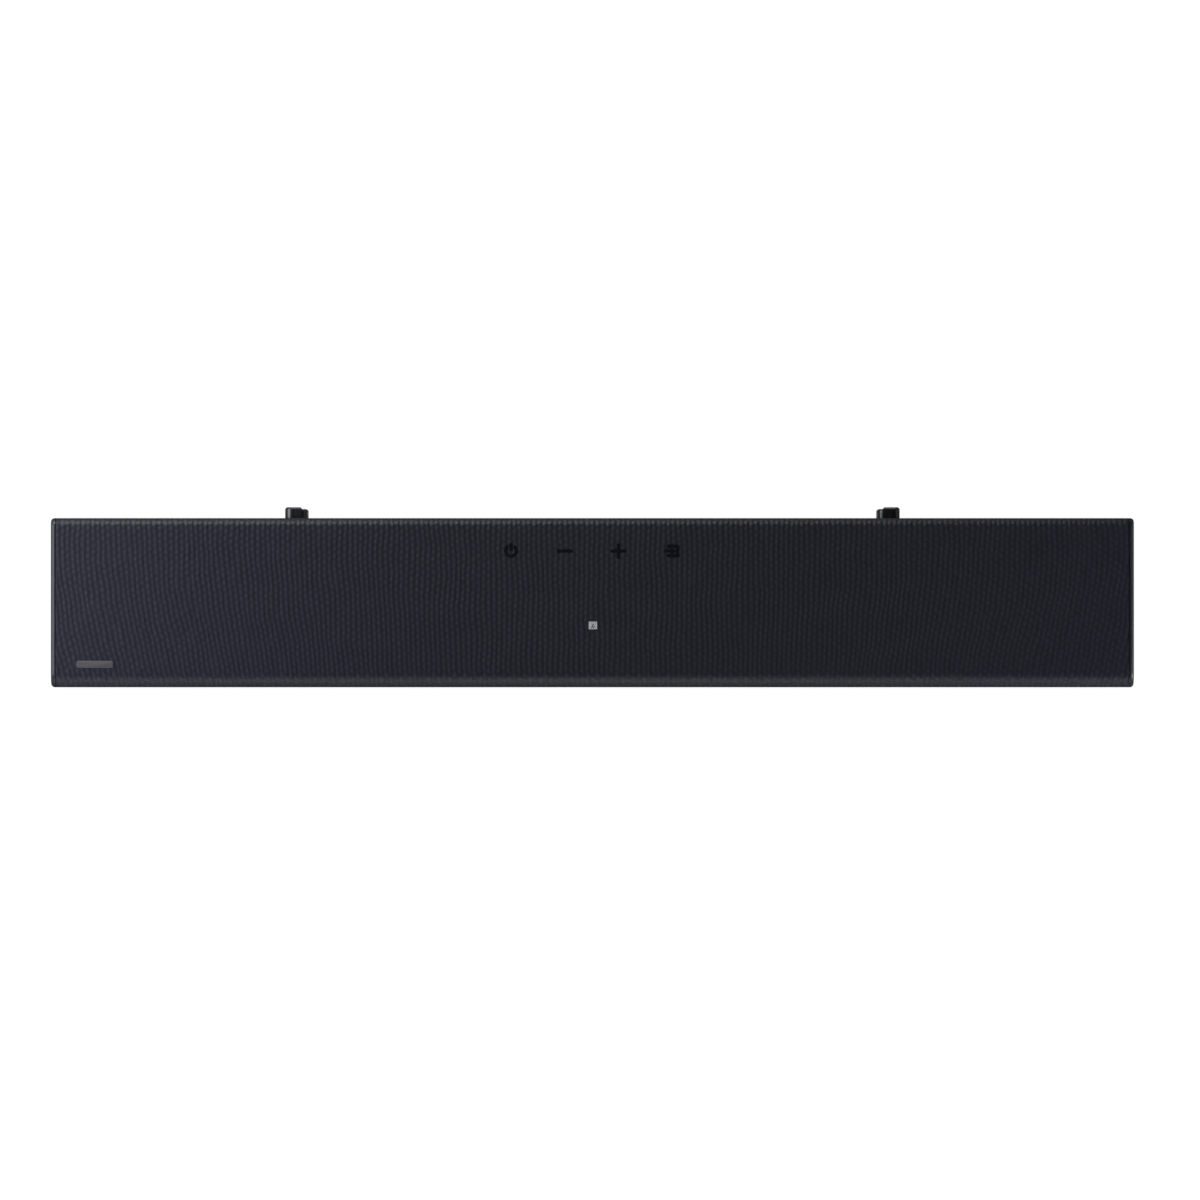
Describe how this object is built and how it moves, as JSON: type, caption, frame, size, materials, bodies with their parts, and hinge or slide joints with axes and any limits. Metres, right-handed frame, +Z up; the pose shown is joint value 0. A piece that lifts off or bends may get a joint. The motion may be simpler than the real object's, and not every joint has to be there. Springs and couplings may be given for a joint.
{
  "type": "soundbar",
  "caption": "Compact soundbar: long cabinet with woven cloth over its top and front, end caps, raised-symbol keys and a status lamp in the top, and a plug bay and keyhole hangers at the rear.",
  "frame": {"origin": "on the surface that the feet stand on, at the centre of the footprint of the cabinet with its hangers", "axes": "+X to the right seen from the front (the bar's width), -Y the front with the drivers, +Y the rear with the sockets and hangers, +Z up"},
  "size_m": [0.641, 0.1068, 0.0654],
  "materials": {
    "cloth": "fine woven, blue-black",
    "case_plastic": "fine moulded texture",
    "cap_plastic": "satin moulded",
    "gloss_black": "polished",
    "foot_rubber": "matte",
    "screw_steel": "black zinc",
    "key_plastic": "satin",
    "circuit_board": "solder mask",
    "chip_plastic": "moulded",
    "heat_sink_metal": "extruded",
    "can_metal": "sleeved",
    "switch_plastic": "moulded",
    "lamp_body": "white diffuser",
    "clear_plastic": "clear",
    "socket_plastic": "moulded",
    "socket_metal": "plated",
    "wire_cover": "smooth",
    "ribbon_plastic": "smooth",
    "box_plastic": "moulded",
    "basket_steel": "black paint",
    "magnet_ferrite": "sintered",
    "yoke_steel": "zinc plated",
    "cone_paper": "pressed pulp",
    "coil_copper": "enamelled wire",
    "surround_rubber": "smooth",
    "spider_cloth": "resin-treated cloth",
    "dome_silk": "coated silk",
    "badge_metal": "satin, blank"
  },
  "bodies": {
    "cabinet": {"aux_socket": "socket_plastic", "blank_badge": "badge_metal", "board_screws": "screw_steel", "bottom_cover": "case_plastic", "capacitors": "can_metal", "case_screws": "screw_steel", "circuit_chips": "chip_plastic", "display_link_socket": "socket_metal", "driver_screws": "screw_steel", "end_cap_left": "cap_plastic", "end_cap_right": "cap_plastic", "grille_fabric": "cloth", "grille_frame": "case_plastic", "hanger_left": "gloss_black", "hanger_right": "gloss_black", "hanger_screws": "screw_steel", "heat_sink": "heat_sink_metal", "infrared_receiver": "chip_plastic", "key_board": "circuit_board", "key_switches": "switch_plastic", "light_pipe": "clear_plastic", "main_board": "circuit_board", "power_jack": "socket_plastic", "rear_housing": "case_plastic", "ribbon_cable": "ribbon_plastic", "rubber_feet": "foot_rubber", "speaker_baffle": "box_plastic", "speaker_box_left": "box_plastic", "speaker_box_right": "box_plastic", "speaker_wires": "wire_cover", "status_led": "lamp_body", "tweeter_frame_left": "box_plastic", "tweeter_frame_right": "box_plastic", "tweeter_magnet_left": "yoke_steel", "tweeter_magnet_right": "yoke_steel", "usb_socket": "socket_metal", "woofer_basket_left": "basket_steel", "woofer_basket_right": "basket_steel", "woofer_front_plate_left": "yoke_steel", "woofer_front_plate_right": "yoke_steel", "woofer_magnet_left": "magnet_ferrite", "woofer_magnet_right": "magnet_ferrite", "woofer_spider_left": "spider_cloth", "woofer_spider_right": "spider_cloth", "woofer_surround_left": "surround_rubber", "woofer_surround_right": "surround_rubber", "woofer_yoke_left": "yoke_steel", "woofer_yoke_right": "yoke_steel"},
    "power_key": {"power_key": "key_plastic"},
    "volume_down_key": {"volume_down_key": "key_plastic"},
    "volume_up_key": {"volume_up_key": "key_plastic"},
    "source_key": {"source_key": "key_plastic"},
    "woofer_left": {"woofer_cone_left": "cone_paper", "woofer_dust_cap_left": "cone_paper", "woofer_voice_coil_left": "coil_copper"},
    "tweeter_left": {"tweeter_dome_left": "dome_silk"},
    "woofer_right": {"woofer_cone_right": "cone_paper", "woofer_dust_cap_right": "cone_paper", "woofer_voice_coil_right": "coil_copper"},
    "tweeter_right": {"tweeter_dome_right": "dome_silk"}
  },
  "joints": [
    {"name": "power_key_press", "type": "slide", "parent": "cabinet", "child": "power_key", "axis": [0, 0, -1], "range_m": [0, 0.0005], "stiffness_N_per_m": 600, "springref_m": -0.001},
    {"name": "volume_down_key_press", "type": "slide", "parent": "cabinet", "child": "volume_down_key", "axis": [0, 0, -1], "range_m": [0, 0.0005], "stiffness_N_per_m": 600, "springref_m": -0.001},
    {"name": "volume_up_key_press", "type": "slide", "parent": "cabinet", "child": "volume_up_key", "axis": [0, 0, -1], "range_m": [0, 0.0005], "stiffness_N_per_m": 600, "springref_m": -0.001},
    {"name": "source_key_press", "type": "slide", "parent": "cabinet", "child": "source_key", "axis": [0, 0, -1], "range_m": [0, 0.0005], "stiffness_N_per_m": 600, "springref_m": -0.001},
    {"name": "woofer_left_excursion", "type": "slide", "parent": "cabinet", "child": "woofer_left", "axis": [0, -1, 0], "range_m": [-0.002, 0.002], "stiffness_N_per_m": 1200, "deforming": ["woofer_surround_left", "woofer_spider_left"]},
    {"name": "tweeter_left_excursion", "type": "slide", "parent": "cabinet", "child": "tweeter_left", "axis": [0, -1, 0], "range_m": [-0.0003, 0.0003], "stiffness_N_per_m": 1000},
    {"name": "woofer_right_excursion", "type": "slide", "parent": "cabinet", "child": "woofer_right", "axis": [0, -1, 0], "range_m": [-0.002, 0.002], "stiffness_N_per_m": 1200, "deforming": ["woofer_surround_right", "woofer_spider_right"]},
    {"name": "tweeter_right_excursion", "type": "slide", "parent": "cabinet", "child": "tweeter_right", "axis": [0, -1, 0], "range_m": [-0.0003, 0.0003], "stiffness_N_per_m": 1000}
  ]
}
